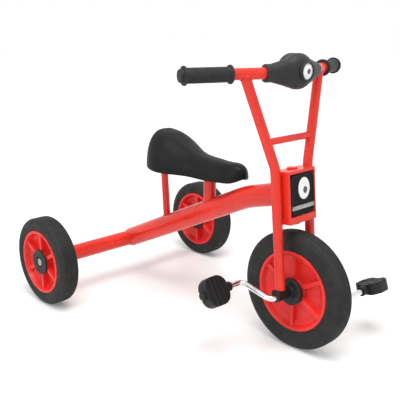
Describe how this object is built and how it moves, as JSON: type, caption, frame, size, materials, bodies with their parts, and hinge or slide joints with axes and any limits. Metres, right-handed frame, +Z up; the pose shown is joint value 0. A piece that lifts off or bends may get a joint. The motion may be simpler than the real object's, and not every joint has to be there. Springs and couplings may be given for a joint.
{
  "type": "child's pedal tricycle",
  "caption": "Child's direct-drive pedal tricycle with a steered and pedalled front wheel, a sloping tube frame, a moulded saddle and free-rolling rear wheels.",
  "frame": {"origin": "on the floor, in the middle plane, half way between the front of the front tyre and the back of the rear tyres", "axes": "+X to the rider's left, +Y to the rear along the trike's length, +Z up; the front wheel faces -Y"},
  "size_m": [0.56, 0.78, 0.598],
  "materials": {
    "red_paint": "gloss powder coat",
    "red_plastic": "moulded, semi gloss",
    "black_plastic": "moulded, fine grain",
    "grip_rubber": "soft matte",
    "tyre_rubber": "solid rubber, matte",
    "chrome_steel": "chromed rod",
    "zinc_steel": "zinc plated",
    "lens_plastic": "clear front over a pale reflector"
  },
  "bodies": {
    "frame": {"backbone": "red_paint", "head_tube": "red_paint", "head_bush_upper": "black_plastic", "head_bush_lower": "black_plastic", "rear_axle_tube": "red_paint", "rear_axle": "zinc_steel", "seat_post": "red_paint", "rear_strut": "red_paint", "seat_plate": "zinc_steel", "saddle": "black_plastic", "axle_bush_left": "black_plastic", "axle_bush_right": "black_plastic", "axle_nut_left": "zinc_steel", "axle_nut_right": "zinc_steel"},
    "fork": {"upper_crown": "red_paint", "lower_crown": "red_paint", "kingpin": "zinc_steel", "kingpin_nut": "red_paint", "head_cover": "black_plastic", "fork_brace": "red_paint", "handlebar": "red_paint", "lamp_housing": "black_plastic", "lamp_lens": "lens_plastic", "fork_leg_left": "red_paint", "fork_leg_right": "red_paint", "head_cheek_left": "red_paint", "head_cheek_right": "red_paint", "front_bearing_left": "black_plastic", "front_bearing_right": "black_plastic", "grip_left": "grip_rubber", "grip_right": "grip_rubber"},
    "front_wheel": {"front_tyre": "tyre_rubber", "front_rim": "red_plastic", "front_hub_left": "black_plastic", "front_hub_right": "black_plastic", "crank": "chrome_steel", "pedal_cap_left": "black_plastic", "pedal_cap_right": "black_plastic"},
    "left_pedal": {"pedal_left": "black_plastic"},
    "right_pedal": {"pedal_right": "black_plastic"},
    "rear_wheel_left": {"rear_tyre_left": "tyre_rubber", "rear_rim_left": "red_plastic", "rear_hub_left": "black_plastic", "rear_hub_cap_left": "black_plastic"},
    "rear_wheel_right": {"rear_tyre_right": "tyre_rubber", "rear_rim_right": "red_plastic", "rear_hub_right": "black_plastic", "rear_hub_cap_right": "black_plastic"}
  },
  "joints": [
    {"name": "steering", "type": "hinge", "parent": "frame", "child": "fork", "pos_m": [0, -0.265, 0.125], "axis": [0, 0.0932, 0.9956], "range_deg": [-35, 35]},
    {"name": "front_wheel_spin", "type": "hinge", "parent": "fork", "child": "front_wheel", "pos_m": [0, -0.265, 0.125], "axis": [1, 0, 0], "continuous": true},
    {"name": "left_pedal_spin", "type": "hinge", "parent": "front_wheel", "child": "left_pedal", "pos_m": [0.158, -0.34549, 0.10935], "axis": [1, 0, 0], "continuous": true},
    {"name": "right_pedal_spin", "type": "hinge", "parent": "front_wheel", "child": "right_pedal", "pos_m": [-0.158, -0.18451, 0.14065], "axis": [1, 0, 0], "continuous": true},
    {"name": "left_rear_wheel_spin", "type": "hinge", "parent": "frame", "child": "rear_wheel_left", "pos_m": [0.255, 0.285, 0.105], "axis": [1, 0, 0], "continuous": true},
    {"name": "right_rear_wheel_spin", "type": "hinge", "parent": "frame", "child": "rear_wheel_right", "pos_m": [-0.255, 0.285, 0.105], "axis": [1, 0, 0], "continuous": true}
  ]
}
